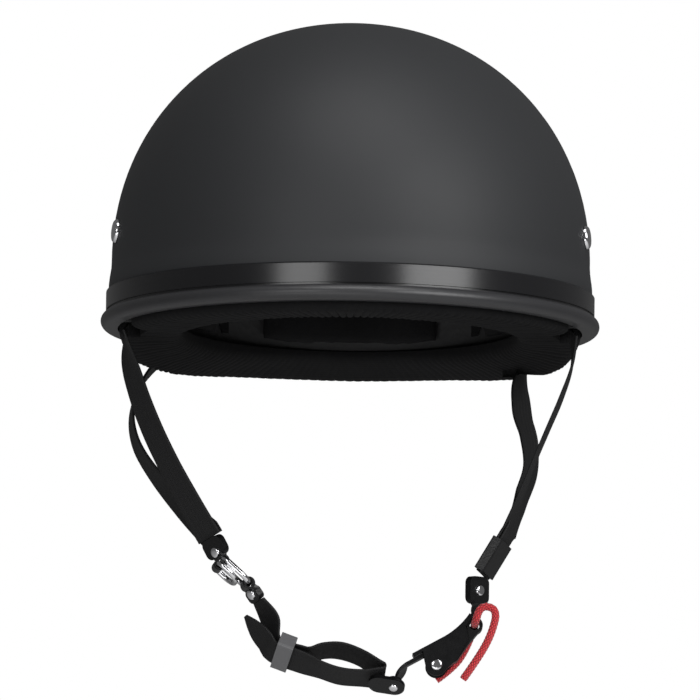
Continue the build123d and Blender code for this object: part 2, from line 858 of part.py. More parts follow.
with BuildPart() as buckle_frame:
    with BuildSketch(side_plane):
        with BuildLine():
            base_curve(0)
            base_curve(base_plate)
            Line((-base_lip, base_height), (-base_lip, base_height - base_plate))
            Line((base_end, base_end_height), (base_end, base_end_height - base_plate))
        make_face()
    extrude(amount=buckle_width / 2, both=True)
    with BuildSketch(side_plane):
        Circle(ear_radius)
        with BuildLine():
            Polyline(
                (-ear_radius * 0.45, base_height - base_plate / 2),
                (-ear_radius * 0.97, 0),
                (ear_radius * 0.6, -ear_radius * 0.8),
                (base_bend_start, -ear_radius * 0.45),
                (base_middle, ear_radius * 0.7),
                (base_middle + 1.5 * base_plate, base_middle_height - 1.4 * base_plate),
                (base_end + base_plate / 2, base_end_height - 1.7 * base_plate),
                (strap_bar_reach + strap_bar_radius, strap_bar_height - strap_bar_radius),
                (strap_bar_reach, strap_bar_height + strap_bar_radius),
                (base_end, base_end_height - base_plate / 2),
                (base_middle, base_middle_height - base_plate / 2),
                (base_bend_start, base_height - base_plate / 2),
                close=True,
            )
        make_face()
    extrude(amount=buckle_width / 2, both=True)
    channel = buckle_width - 2 * buckle_wall
    with BuildSketch(side_plane):
        with BuildLine():
            base_curve(base_plate)
            Polyline(
                (base_end, base_end_height - base_plate),
                (base_end, 2 * base_end_height),
                (2 * base_end, 2 * base_end_height),
                (2 * base_end, -2 * ear_radius),
                (-2 * base_lip, -2 * ear_radius),
                (-2 * base_lip, base_height - base_plate),
                (-base_lip, base_height - base_plate),
            )
        make_face()
    extrude(amount=channel / 2, both=True, mode=Mode.SUBTRACT)
    with BuildSketch(side_plane):
        with Locations((strap_bar_reach, strap_bar_height)):
            Circle(strap_bar_radius)
    extrude(amount=buckle_width / 2, both=True)
    with BuildSketch(side_plane):
        Circle(pin_radius + pin_clearance)
    extrude(amount=buckle_width, both=True, mode=Mode.SUBTRACT)
buckle_frame.part.label = "buckle_frame"
export_step(buckle_frame.part, "parts/buckle_frame.step")

with BuildPart() as buckle_pin:
    with BuildSketch(side_plane):
        Circle(pin_radius)
    extrude(amount=buckle_width / 2, both=True)
    for way in (1, -1):
        cap = Plane(
            origin=pin_place + Vector(0, way * buckle_width / 2, 0), x_dir=buckle_along, z_dir=(0, way, 0)
        )
        rivet(cap, pin_radius, base_plate, pin_head_radius, pin_head_dome)
buckle_pin.part.label = "buckle_pin"
export_step(buckle_pin.part, "parts/buckle_pin.step")

# Release lever: eye, catch tooth, arm and cord eye
with BuildPart() as release_lever:
    lever_width = buckle_width - 2 * buckle_wall - 2 * lever_side_gap
    with BuildSketch(side_plane):
        Circle(lever_eye_radius)
        with BuildLine():
            Polyline(
                (0, lever_eye_radius),
                (tooth_start - tongue_thickness / 2, lever_top),
                (tooth_start, tooth_height),
                (tooth_end, tooth_height),
                (tooth_end + tongue_thickness, lever_top),
                (base_middle - base_plate, lever_top + base_plate),
                (lever_end, lever_end_height + lever_eye_boss),
                (lever_end + lever_eye_boss * 0.7, lever_end_height - lever_eye_boss * 0.7),
                (base_middle, lever_eye_radius * 0.5),
                (base_bend_start, -lever_eye_radius * 0.7),
                (lever_eye_radius * 0.5, -lever_eye_radius * 0.86),
                close=True,
            )
        make_face()
        with Locations((lever_end, lever_end_height)):
            Circle(lever_eye_boss)
    extrude(amount=lever_width / 2, both=True)
    with BuildSketch(side_plane):
        Circle(pin_radius + pin_clearance)
        with Locations((lever_end, lever_end_height)):
            Circle(cord_hole_radius)
    extrude(amount=buckle_width, both=True, mode=Mode.SUBTRACT)
release_lever.part.label = "release_lever"
export_step(release_lever.part, "parts/release_lever.step")

# Leaf spring between the base plate and the lever's arm
with BuildPart() as lever_spring:
    leaf_gap = spring_thickness / 2 + lane_gap / 2
    leaf_top = base_height - base_plate - leaf_gap
    leaf_foot = lever_top + base_plate * 0.8 + leaf_gap + lane_gap
    with BuildSketch(side_plane):
        with BuildLine():
            FilletPolyline(
                (tooth_end + leaf_gap, leaf_top), (base_middle + leaf_gap, leaf_top + leaf_gap),
                (tooth_end + 3 * base_plate, leaf_foot),
                radius=spring_thickness,
            )
            offset(amount=spring_thickness / 2, side=Side.LEFT)
        make_face()
    extrude(amount=spring_width / 2, both=True)
lever_spring.part.label = "lever_spring"
export_step(lever_spring.part, "parts/lever_spring.step")

# Left half of the harness: buckle tab round the strap bar, two straps and the sliding keeper
strap_bar = pin_place + buckle_along * strap_bar_reach + buckle_up * strap_bar_height
buckle_tab_along = heading(-90)
buckle_rivet_place = strap_bar - buckle_tab_along * buckle_rivet_rise
buckle_bore = strap_bar_radius + fold_clearance

with BuildPart() as buckle_tab:
    fold_tab(
        buckle_rivet_place, buckle_tab_along, buckle_tab_twist, buckle_tab_above,
        buckle_rivet_rise - buckle_bore - fold_wall, buckle_tab_width, strap_bar, 0, buckle_bore,
    )
buckle_tab.part.label = "buckle_tab"
export_step(buckle_tab.part, "parts/buckle_tab.step")

keeper_along = heading(keeper_heading)
keeper_place = front_place(keeper_across, keeper_drop)
keeper_end = keeper_place + keeper_along * keeper_below
left_front_twists = [-hinge_twist, 0, 6, 4, 4, 8, keeper_twist]
left_rear_twists = [-hinge_twist, 30, 36, 32, 26, 24, keeper_twist]

with BuildPart() as left_front_strap:
    lay_strap(
        front_exit_left, keeper_end, left_front_bow, 0.8, left_front_twists, keeper_along, -strap_lane,
        keeper_straight,
    )
left_front_strap.part.label = "left_front_strap"
export_step(left_front_strap.part, "parts/left_front_strap.step")

with BuildPart() as left_rear_strap:
    lay_strap(
        rear_exit_left, keeper_end, left_rear_bow, 1.9, left_rear_twists, keeper_along, strap_lane,
        keeper_straight,
    )
left_rear_strap.part.label = "left_rear_strap"
export_step(left_rear_strap.part, "parts/left_rear_strap.step")

with BuildPart() as strap_keeper:
    keeper_inner = webbing_width + 2 * keeper_clearance
    keeper_deep = 2 * webbing_thickness + lane_gap + 2 * keeper_clearance
    keeper_top = keeper_end - keeper_along * (keeper_low + keeper_length)
    with BuildSketch(section_plane(keeper_top, keeper_along, keeper_twist)):
        RectangleRounded(keeper_inner + 2 * keeper_wall, keeper_deep + 2 * keeper_wall, keeper_wall)
        Rectangle(keeper_inner, keeper_deep, mode=Mode.SUBTRACT)
    extrude(amount=keeper_length)
strap_keeper.part.label = "strap_keeper"
export_step(strap_keeper.part, "parts/strap_keeper.step")

# Chrome rivets through the tabs
tab_rivet_places = [
    (flat_plane(junction, junction_along, junction_twist), tab_thickness),
    (flat_plane(link_rivet_place, -link_along, -link_twist), tab_thickness),
]
with BuildPart() as right_tab_rivets:
    for plane, thick in tab_rivet_places:
        way = -1 if plane.z_dir.Y > 0 else 1
        head = Plane(
            origin=plane.origin + plane.z_dir * way * thick / 2, x_dir=plane.x_dir, z_dir=plane.z_dir * way
        )
        rivet(head, tab_rivet_shank, thick, tab_rivet_radius, tab_rivet_dome, tab_rivet_radius, tab_rivet_dome / 2)
    head = Plane(
        origin=tongue_tab_place - tab_normal * tongue_tab_thickness / 2, x_dir=loop_along, z_dir=-tab_normal
    )
    rivet(
        head, tab_rivet_shank, tongue_tab_thickness + tongue_thickness, tab_rivet_radius * 0.85,
        tab_rivet_dome, tab_rivet_radius * 0.85, tab_rivet_dome / 2,
    )
right_tab_rivets.part.label = "right_tab_rivets"
export_step(right_tab_rivets.part, "parts/right_tab_rivets.step")

with BuildPart() as buckle_tab_rivet:
    plane = flat_plane(buckle_rivet_place, buckle_tab_along, buckle_tab_twist)
    way = -1 if plane.z_dir.Y > 0 else 1
    head = Plane(
        origin=plane.origin + plane.z_dir * way * tab_thickness / 2, x_dir=plane.x_dir,
        z_dir=plane.z_dir * way,
    )
    rivet(head, tab_rivet_shank, tab_thickness, tab_rivet_radius, tab_rivet_dome, tab_rivet_radius, tab_rivet_dome / 2)
buckle_tab_rivet.part.label = "buckle_tab_rivet"
export_step(buckle_tab_rivet.part, "parts/buckle_tab_rivet.step")

# Pull cord: through the lever's eye from behind, over, and down across the buckle's front
cord_points = [
    (44.6, 16.5, -168.5), (53.0, 15.8, -162.3), (58.6, 15.3, -154.0), (62.8, 15.3, -142.8),
    (62.8, -7.3, -142.8), (65.6, -9.4, -133.6), (73.9, -9.0, -135.6), (71.2, -8.0, -147.2),
    (65.6, -6.6, -158.2), (57.4, -5.2, -169.8),
]


def bend_radii(points):
    """The largest even bend at each corner of a route."""
    radii = []
    for before, corner, after in zip(points, points[1:], points[2:]):
        come = Vector(*corner) - Vector(*before)
        go = Vector(*after) - Vector(*corner)
        half_turn = radians(come.get_angle(go)) / 2
        radii.append(0.45 * min(come.length, go.length) / tan(half_turn))
    return radii


cord_radii = bend_radii(cord_points)
with BuildPart() as pull_cord:
    with BuildLine() as cord_route:
        FilletPolyline(*cord_points, radius=cord_radii)
    with BuildSketch(Plane(origin=cord_route.line @ 0, z_dir=cord_route.line % 0)):
        Circle(cord_diameter / 2)
    sweep(path=cord_route.line)
pull_cord.part.label = "pull_cord"
export_step(pull_cord.part, "parts/pull_cord.step")

cord_section = pi * (cord_diameter / 2) ** 2
print("cord bend radii", [round(radius, 1) for radius in cord_radii])
cord_length = sum(edge.length for edge in cord_route.line.edges())
print("cord length", round(cord_length), "volume share", round(pull_cord.part.volume / cord_length / cord_section, 3))
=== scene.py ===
# %% [markdown]
# # A half shell helmet, dressed for its photograph
#
# A half shell helmet is a hard cap with a foam liner inside, a moulding round its edge, and a harness of
# webbing that closes under the chin with a quick release buckle. The CAD frame gives every hard part its
# place and size. This script adds what CAD leaves plain: woven webbing, a pleated roll, sewn pads and a
# braided cord, and gives every surface its material. Lengths are in millimetres, in the part's own frame,
# and become metres when a mesh is made.

from collections import namedtuple
from math import atan2, cos, degrees, floor, pi, radians, sin

import bmesh
import bpy
from mathutils import Matrix, Vector


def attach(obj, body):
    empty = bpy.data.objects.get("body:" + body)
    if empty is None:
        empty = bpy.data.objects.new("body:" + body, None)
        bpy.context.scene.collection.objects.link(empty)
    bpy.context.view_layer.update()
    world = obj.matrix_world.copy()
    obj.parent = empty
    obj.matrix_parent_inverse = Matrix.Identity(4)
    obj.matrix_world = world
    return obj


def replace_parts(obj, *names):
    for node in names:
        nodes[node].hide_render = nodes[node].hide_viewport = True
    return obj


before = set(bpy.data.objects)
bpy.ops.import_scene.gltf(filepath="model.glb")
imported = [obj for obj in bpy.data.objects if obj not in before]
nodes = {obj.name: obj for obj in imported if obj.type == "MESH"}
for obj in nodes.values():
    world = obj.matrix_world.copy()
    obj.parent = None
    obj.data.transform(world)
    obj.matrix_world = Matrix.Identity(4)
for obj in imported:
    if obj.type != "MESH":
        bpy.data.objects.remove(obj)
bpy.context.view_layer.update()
METRES = 0.001

# %% [markdown]
# ## The camera
#
# The photograph looks up at the rim by a few degrees, so the far side of the rim lies lower in it than the
# near side. A short lens close by would make the near buckle look too large, so this is a long lens, six
# metres away. The picture is also turned by less than a degree. The camera's three directions are worked
# out first and written into its matrix, because that is plainer than three angles that turn one after
# another.

# %% Camera on its line of sight
VIEW_TILT = radians(6.2)
VIEW_ROLL = radians(0.8)
VIEW_DISTANCE = 6.0
PIXELS_PER_METRE = 2045.0
PICTURE_WIDTH = 700
SENSOR_WIDTH = 36.0
FAR_CLIP = 100.0
VIEW_TARGET = Vector((0.00017, 0.0, -0.00858))


def place_camera():
    """The camera on its line of sight, with the roll that the photograph has."""
    data = bpy.data.cameras.new("camera")
    data.sensor_width = SENSOR_WIDTH
    data.lens = PIXELS_PER_METRE * SENSOR_WIDTH * VIEW_DISTANCE / PICTURE_WIDTH
    data.clip_end = FAR_CLIP
    look = Vector((0.0, cos(VIEW_TILT), sin(VIEW_TILT)))
    level_up = Vector((0.0, -sin(VIEW_TILT), cos(VIEW_TILT)))
    level_right = Vector((1.0, 0.0, 0.0))
    right = level_right * cos(VIEW_ROLL) + level_up * sin(VIEW_ROLL)
    up = level_up * cos(VIEW_ROLL) - level_right * sin(VIEW_ROLL)
    turn = Matrix((right, up, -look)).transposed().to_4x4()
    camera = bpy.data.objects.new("camera", data)
    camera.matrix_world = Matrix.Translation(VIEW_TARGET - look * VIEW_DISTANCE) @ turn
    bpy.context.collection.objects.link(camera)
    bpy.context.scene.camera = camera
    print("camera: lens", round(data.lens), "mm,", VIEW_DISTANCE, "m away")


place_camera()

# %% [markdown]
# ## Shader expressions
#
# A pattern such as the twill of webbing is arithmetic on the place of a surface point. It could be wired
# node by node, but it reads better as a formula. A Field stands for one socket whose value changes over the
# surface, and its operators add the maths nodes. Every other node comes from add_node.


# %% One way to add a node
def add_node(tree, kind, settings, values):
    """A node of a kind: its settings are set first, then its sockets' numbers or links."""
    node = tree.nodes.new(kind)
    for setting, value in settings.items():
        setattr(node, setting, value)
    for name, value in values.items():
        if isinstance(value, Field):
            tree.links.new(value.socket, node.inputs[name])
        else:
            node.inputs[name].default_value = value
    return node


# %% Arithmetic on fields
class Field:
    """A value that varies over a surface, held by one socket of a node tree."""

    def __init__(self, tree, socket):
        self.tree = tree
        self.socket = socket

    def maths(self, operation, *others):
        """One maths node on this field and on other fields or numbers."""
        values = dict(enumerate((self, *others)))
        node = add_node(self.tree, "ShaderNodeMath", {"operation": operation}, values)
        return Field(self.tree, node.outputs[0])

    def __add__(self, other):
        return self.maths("ADD", other)

    def __sub__(self, other):
        return self.maths("SUBTRACT", other)

    def __rsub__(self, other):
        return self * -1.0 + other

    def __mul__(self, other):
        return self.maths("MULTIPLY", other)

    __radd__ = __add__
    __rmul__ = __mul__

    def wave(self, pitch):
        """A smooth wave from 0 to 1 that repeats at a pitch."""
        return (self * (2 * pi / pitch)).maths("SINE") * 0.5 + 0.5

    def ridge(self, pitch):
        """Rounded ridges from 0 to 1, with sharp valleys between them."""
        return (self * (pi / pitch)).maths("SINE").maths("ABSOLUTE")

    def step(self, low, high):
        """0 below low, 1 above high, and a smooth rise between."""
        settings = {"interpolation_type": "SMOOTHSTEP"}
        values = {"Value": self, "From Min": low, "From Max": high}
        node = add_node(self.tree, "ShaderNodeMapRange", settings, values)
        return Field(self.tree, node.outputs["Result"])


# %% A material and its patterns
class Paint:
    """A principled material: even values are set on its sockets, and varying ones come from fields."""

    def __init__(self, name, color, roughness, metallic=0.0, **even):
        self.material = bpy.data.materials.new(name)
        self.material.use_nodes = True
        self.tree = self.material.node_tree
        self.shader = self.tree.nodes["Principled BSDF"]
        self.shader.inputs["Base Color"].default_value = (*color, 1.0)
        self.shader.inputs["Roughness"].default_value = roughness
        self.shader.inputs["Metallic"].default_value = metallic
        for socket, value in even.items():
            self.shader.inputs[socket.replace("_", " ")].default_value = value

    def source(self, kind, settings, values, output):
        """One output of a new node, as a field."""
        return Field(self.tree, add_node(self.tree, kind, settings, values).outputs[output])

    def split(self, coordinates):
        """Texture coordinates of a kind, as three fields."""
        vector = self.source("ShaderNodeTexCoord", {}, {}, coordinates)
        node = add_node(self.tree, "ShaderNodeSeparateXYZ", {}, {"Vector": vector})
        return [Field(self.tree, socket) for socket in node.outputs]

    def place(self):
        """The surface point in millimetres, as three fields."""
        return [field * (1 / METRES) for field in self.split("Object")]

    def across_and_along(self):
        """The UV map's two values, which ribbons and cord keep in millimetres."""
        return self.split("UV")[:2]

    def noise(self, size, detail=2.0):
        """Soft noise from 0 to 1 with lumps of a size in millimetres."""
        vector = self.source("ShaderNodeTexCoord", {}, {}, "Object")
        values = {"Vector": vector, "Scale": 1 / (size * METRES), "Detail": detail}
        return self.source("ShaderNodeTexNoise", {}, values, "Fac")

    def cells(self, size):
        """Rounded cells of a size in millimetres, 0 at their middles."""
        vector = self.source("ShaderNodeTexCoord", {}, {}, "Object")
        values = {"Vector": vector, "Scale": 1 / (size * METRES)}
        return self.source("ShaderNodeTexVoronoi", {}, values, "Distance")

    def drive(self, socket, field):
        """Links a field to one of the shader's sockets."""
        self.tree.links.new(field.socket, self.shader.inputs[socket])

    def vary(self, socket, field, low, high):
        """Drives a number between two values."""
        self.drive(socket, field * (high - low) + low)

    def tint(self, field, first, second):
        """Drives the base colour between two colours."""
        values = {"Factor": field, "A": (*first, 1.0), "B": (*second, 1.0)}
        self.drive("Base Color", self.source("ShaderNodeMix", {"data_type": "RGBA"}, values, "Result"))

    def bump(self, height, depth, strength=1.0):
        """Raises the surface by a field times a depth in millimetres."""
        values = {"Height": height, "Distance": depth * METRES, "Strength": strength}
        self.drive("Normal", self.source("ShaderNodeBump", {}, values, "Normal"))


# %% Dressing the CAD nodes
SOLID_CREASE = radians(32)


def dress(paint, *names):
    """Gives CAD nodes their material, and shades them smooth between their creases."""
    for name in names:
        data = nodes[name].data
        data.materials.clear()
        data.materials.append(paint.material)
        for face in data.polygons:
            face.use_smooth = True
        data.set_sharp_from_angle(angle=SOLID_CREASE)
    print(paint.material.name + ":", ", ".join(names))


# %% [markdown]
# ## Flat paint
#
# The shell is moulded plastic under matte black paint, which dries with a very fine grain and a slightly
# uneven sheen. One even grey would look like a plain ball. Fine noise raises the grain, and noise with
# lumps of a few centimetres varies the roughness, so that the broad highlight isn't quite regular.

# %% Shell paint
shell_paint = Paint("shell_paint", (0.0225, 0.0234, 0.0252), 0.6, Specular_IOR_Level=0.34)
shell_paint.vary("Roughness", shell_paint.noise(38.0), 0.57, 0.64)
shell_paint.bump(shell_paint.noise(0.9, 3.0), 0.03, 0.5)
dress(shell_paint, "shell")

# %% [markdown]
# ## Edge moulding
#
# One vinyl moulding covers the shell's edge. Its upper leg is glossy and shows two bright streaks, and the
# bead below it is duller. Two objects could hold the two finishes, but on the real one they are one strip,
# so the height of the surface point tells them apart. Fine waves along the upper leg are its extrusion
# marks.

# %% Trim vinyl
BEAD_TOP = 7.6
BEAD_EDGE = 0.2
trim_vinyl = Paint("trim_vinyl", (0.012, 0.012, 0.013), 0.12)
_, _, trim_height = trim_vinyl.place()
upper_leg = trim_height.step(BEAD_TOP - BEAD_EDGE, BEAD_TOP + BEAD_EDGE)
trim_vinyl.tint(upper_leg, (0.024, 0.024, 0.026), (0.008, 0.008, 0.009))
trim_vinyl.vary("Roughness", upper_leg, 0.42, 0.25)
trim_vinyl.bump(trim_height.wave(1.9) * upper_leg * 0.3 + trim_vinyl.noise(1.2) * 0.4, 0.04, 0.4)
dress(trim_vinyl, "edge_trim")

# %% [markdown]
# ## Foam and lining
#
# The liner is foam of fused beads, which Voronoi cells of three millimetres show. The lining is knitted
# cloth. Its loops are too small to model, so two waves crossing at a right angle raise them, with a third
# for the rows. Its black wanders a little, as on cloth that has been handled.

# %% Bead foam
foam_paint = Paint("foam", (0.03, 0.03, 0.031), 0.75)
foam_paint.bump(foam_paint.cells(3.2), 0.4, 0.6)
dress(foam_paint, "impact_liner")

# %% Lining cloth
KNIT_PITCH = 0.9
KNIT_ROWS = 0.8
lining_cloth = Paint("lining", (0.005, 0.005, 0.0055), 0.92, Specular_IOR_Level=0.2)
lining_x, lining_y, lining_z = lining_cloth.place()
loops_of_knit = (lining_x + lining_y).wave(KNIT_PITCH) * (lining_x - lining_y).wave(KNIT_PITCH)
lining_cloth.bump(loops_of_knit + lining_z.wave(KNIT_ROWS) * 0.5, 0.12, 0.6)
lining_cloth.tint(lining_cloth.noise(9.0), (0.0035, 0.0035, 0.004), (0.0065, 0.0065, 0.007))
print("lining: loops every", KNIT_PITCH, "mm")

# %% [markdown]
# ## Webbing
#
# Harness webbing is woven in a twill whose lines turn back at each rib. The pattern reads the ribbon's own
# UV map, in millimetres along and across it, so that it follows every bend and twist. The colour follows the
# same height as the bump, so the gaps between threads get painted shade and the raised threads are lighter.

# %% Woven webbing
TWILL_PITCH = 0.95
TWILL_TURN = 2.6
THREAD_PITCH = 1.3
webbing_cloth = Paint("webbing", (0.005, 0.005, 0.0055), 0.58, Specular_IOR_Level=0.3)
across, along = webbing_cloth.across_and_along()
twill = (along + across.ridge(TWILL_TURN) * 0.9).ridge(TWILL_PITCH)
weave_and_gap_shade = twill * 0.8 + across.ridge(THREAD_PITCH) * 0.4
webbing_cloth.bump(weave_and_gap_shade, 0.16, 0.8)
# Painted shade: darker in the gaps between threads, lighter on the threads that stand up.
webbing_cloth.tint(weave_and_gap_shade, (0.0022, 0.0022, 0.0026), (0.0085, 0.0085, 0.009))
dress(webbing_cloth, "strap_roots")

# %% [markdown]
# ## Vinyl and moulded plastic
#
# The riveted tabs and the keeper are grained vinyl: small cells raise the grain. The slider and the lever
# are moulded plastic. The slider is greyer than all round it and catches the light, and the lever is deep
# black.

# %% Grained vinyl
tab_vinyl = Paint("tab_vinyl", (0.004, 0.004, 0.0045), 0.34, Specular_IOR_Level=0.36)
tab_vinyl.bump(tab_vinyl.cells(0.9), 0.08, 0.5)
tab_vinyl.vary("Roughness", tab_vinyl.noise(3.0), 0.28, 0.42)
dress(tab_vinyl, "junction_tab", "link_tab", "tongue_tab", "buckle_tab", "strap_keeper")

# %% Moulded plastic
slider_plastic = Paint("slider_plastic", (0.13, 0.13, 0.135), 0.34)
lever_plastic = Paint("lever_plastic", (0.004, 0.004, 0.0045), 0.3, Specular_IOR_Level=0.4)
for plastic in (slider_plastic, lever_plastic):
    plastic.bump(plastic.noise(0.7), 0.03, 0.5)
dress(slider_plastic, "slider")
dress(lever_plastic, "release_lever")

# %% [markdown]
# ## Metal
#
# Rivets, rings and pin are polished chrome, whose roughness wanders as thumbs leave it. The washers inside
# are plain steel. The tongue and the buckle's frame are blackened: the finish hides the metal, so this one
# has no metallic value and shines as lacquer does.

# %% Chrome and steel
chrome = Paint("chrome", (0.82, 0.82, 0.84), 0.1, 1.0)
chrome.vary("Roughness", chrome.noise(4.0), 0.07, 0.16)
dress(chrome, "shell_rivets", "link_ring", "flip_ring", "right_tab_rivets", "buckle_tab_rivet", "buckle_pin")

steel = Paint("steel", (0.2, 0.2, 0.21), 0.34, 1.0)
steel.vary("Roughness", steel.noise(2.5), 0.28, 0.42)
dress(steel, "rivet_washers")

black_steel = Paint("black_steel", (0.004, 0.004, 0.0045), 0.26, Specular_IOR_Level=0.4)
black_steel.vary("Roughness", black_steel.noise(3.0), 0.2, 0.32)
black_steel.bump(black_steel.noise(1.4), 0.02, 0.4)
dress(black_steel, "latch_tongue", "buckle_frame", "lever_spring")

# %% [markdown]
# ## Meshes from sections
#
# Webbing, cord and roll are each one section carried along a line. A curve with a bevel could do that, but
# it can't narrow a strap's point or pleat a roll. So the first section is drawn as a ring of edges, and
# each next one is that ring extruded, with its vertices moved to their own places. A closed piece welds its
# last ring to its first, and an open one gets a face over each end.


# %% A ring and its extrusion
def ring_edges(mesh, ring):
    """The edges that join a ring's vertices in turn."""
    return [mesh.edges.get((ring[number - 1], vertex)) for number, vertex in enumerate(ring)]


def draw_ring(mesh, points):
    """A closed ring of edges through points."""
    ring = [mesh.verts.new(point) for point in points]
    for number, vertex in enumerate(ring):
        mesh.edges.new((ring[number - 1], vertex))
    return ring


def carry_ring(mesh, ring, points):
    """The ring extruded, with its new vertices moved to points."""
    made = bmesh.ops.extrude_edge_only(mesh, edges=ring_edges(mesh, ring))["geom"]
    fresh = {element for element in made if isinstance(element, bmesh.types.BMVert)}
    following = []
    for vertex, point in zip(ring, points):
        beside = (edge.other_vert(vertex) for edge in vertex.link_edges)
        twin = next(other for other in beside if other in fresh)
        twin.co = point
        following.append(twin)
    return following


# %% A piece from its sections
PIECE_CREASE = radians(50)


def sweep(mesh, sections, closed):
    """Carries a ring through all sections, and returns each vertex's place in the UV map."""
    rows = [[Vector(point) * METRES for point, _ in section] for section in sections]
    rings = [draw_ring(mesh, rows[0])]
    for row in rows[1:]:
        rings.append(carry_ring(mesh, rings[-1], row))
    if closed:
        last = carry_ring(mesh, rings[-1], rows[0])
        bmesh.ops.weld_verts(mesh, targetmap=dict(zip(last, rings[0])))
    for face in mesh.faces:
        face.smooth = True
    if not closed:
        for ring in (rings[0], rings[-1]):
            bmesh.ops.edgeloop_fill(mesh, edges=ring_edges(mesh, ring))
    places = {}
    for ring, section in zip(rings, sections):
        places.update(zip(ring, (place for _, place in section)))
    return places


def make_piece(name, sections, paint, body, closed=False):
    """Sections of ((x, y, z), (u, v)) points made one mesh, on the body that carries it."""
    mesh = bmesh.new()
    uv_layer = mesh.loops.layers.uv.new("UVMap")
    places = sweep(mesh, sections, closed)
    for face in mesh.faces:
        for corner in face.loops:
            corner[uv_layer].uv = places[corner.vert]
    bmesh.ops.recalc_face_normals(mesh, faces=mesh.faces)
    data = bpy.data.meshes.new(name)
    mesh.to_mesh(data)
    mesh.free()
    data.materials.append(paint.material)
    data.set_sharp_from_angle(angle=PIECE_CREASE)
    piece = bpy.data.objects.new(name, data)
    bpy.context.collection.objects.link(piece)
    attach(piece, body)
    print(name + ":", len(sections), "sections,", len(data.polygons), "faces, on", body)
    return piece


# %% A smooth value from a table
def smooth_value(values, share):
    """A smooth value through evenly spaced ones, by a Catmull-Rom curve."""
    spot = min(max(share, 0.0), 1.0) * (len(values) - 1)
    index = min(int(floor(spot)), len(values) - 2)
    t = spot - index
    before = values[index - 1] if index else values[0] * 2 - values[1]
    a, b = values[index], values[index + 1]
    after = values[index + 2] if index + 2 < len(values) else b * 2 - a
    return (
        a * 2 + (b - before) * t + (before * 2 - a * 5 + b * 4 - after) * t * t
        + (a * 3 - b * 3 + after - before) * t * t * t
    ) * 0.5


# %% [markdown]
# ## Ribbons of webbing
#
# A ribbon's stations say where its middle runs, which way its width points and how wide it is. Its section
# is flat with a raised rib inside each edge, as woven webbing has. A flat strip with thickness added would
# lose those ribs, which catch the light along every strap.

# %% The woven section
WEBBING_WIDTH = 16.0
WEBBING_THICKNESS = 1.4
RIB_SHARES = [
    (-1.0, 0.45), (-0.97, 0.8), (-0.88, 1.0), (-0.8, 0.86), (-0.4, 0.8), (0.0, 0.78), (0.4, 0.8), (0.8, 0.86),
    (0.88, 1.0), (0.97, 0.8), (1.0, 0.45),
]


def ribbon(name, stations, body, node):
    """A woven ribbon through stations of (middle, width direction, width), in place of a CAD node."""
    sections = []
    run = 0.0
    for number, (middle, wide, width) in enumerate(stations):
        before = stations[max(number - 1, 0)][0]
        after = stations[min(number + 1, len(stations) - 1)][0]
        along = (after - before).normalized()
        wide = (wide - along * wide.dot(along)).normalized()
        face = along.cross(wide)
        run += (middle - before).length
        section = []
        for side, row in ((1, RIB_SHARES), (-1, reversed(RIB_SHARES))):
            for share, lift in row:
                shift = share * width / 2
                point = middle + wide * shift + face * (side * lift * WEBBING_THICKNESS / 2)
                section.append((point, (shift + WEBBING_WIDTH, run)))
        sections.append(section)
    print(name + ":", round(run, 1), "mm long")
    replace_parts(make_piece(name, sections, webbing_cloth, body), node)


# %% Directions of the harness
def heading(angle):
    """Direction in the upright plane seen from the front, in degrees from +X."""
    return Vector((cos(radians(angle)), 0.0, sin(radians(angle))))


def turned_width(along, twist):
    """A ribbon's width: as near to the Y axis as it can lie, then turned by a twist."""
    level = (Vector((0.0, 1.0, 0.0)) - along * along.y).normalized()
    return level * cos(radians(twist)) + along.cross(level) * sin(radians(twist))


# %% [markdown]
# ## Where the straps leave the rim
#
# Each side has two straps, which come out between shell and foam and meet low down: on the wearer's right
# at the riveted patch that holds the rings, on the left inside the keeper. The rim is an oval, so an exit
# is found by its angle round the oval and a depth square to it.

# %% Exits and meeting points
RIM_RADIUS = 118.3
HALF_LENGTH = 143.0
STRAP_INSET = 7.0
EXIT_HEIGHT = -1.5
FRONT_EXIT_ANGLE = -11.5
REAR_EXIT_ANGLE = 35.8
HARNESS_DEPTH = 4.0
PATCH_BACK = 7.8
KEEPER_BELOW = 10.5


def exit_point(side, angle):
    """Where a strap leaves the rim's oval, on the wearer's right (-1) or left (1)."""
    c, s = cos(radians(angle)), sin(radians(angle))
    out = Vector((side * c / RIM_RADIUS, s / HALF_LENGTH, 0.0)).normalized()
    return Vector((side * RIM_RADIUS * c, HALF_LENGTH * s, EXIT_HEIGHT)) - out * STRAP_INSET


def front_place(across, drop):
    """Point in the harness's upright plane."""
    return Vector((across, HARNESS_DEPTH, -drop))


junction = front_place(-63.0, 108.1)
junction_along = heading(-62.0)
right_end = junction - junction_along * PATCH_BACK
keeper_along = heading(-120.5)
left_end = front_place(71.8, 108.6) + keeper_along * KEEPER_BELOW
exit_line = exit_point(-1, REAR_EXIT_ANGLE) - exit_point(-1, FRONT_EXIT_ANGLE)
EXIT_TWIST = degrees(atan2(exit_line.x, exit_line.y))
print("strap exits:", round(exit_line.length, 1), "mm apart, turned by", round(EXIT_TWIST, 1), "degrees")

# %% [markdown]
# ## The four straps
#
# Nothing pulls on the harness here, so each strap hangs in a slack bow and twists on its way down. The bow
# is a straight line with sideways shifts, read from a table at even steps, and a second table gives the
# twist. Cloth simulation would settle them anywhere, while these have to lie as they do in the photograph.
# Two straps that meet lie in lanes, one on each side of the line between them.

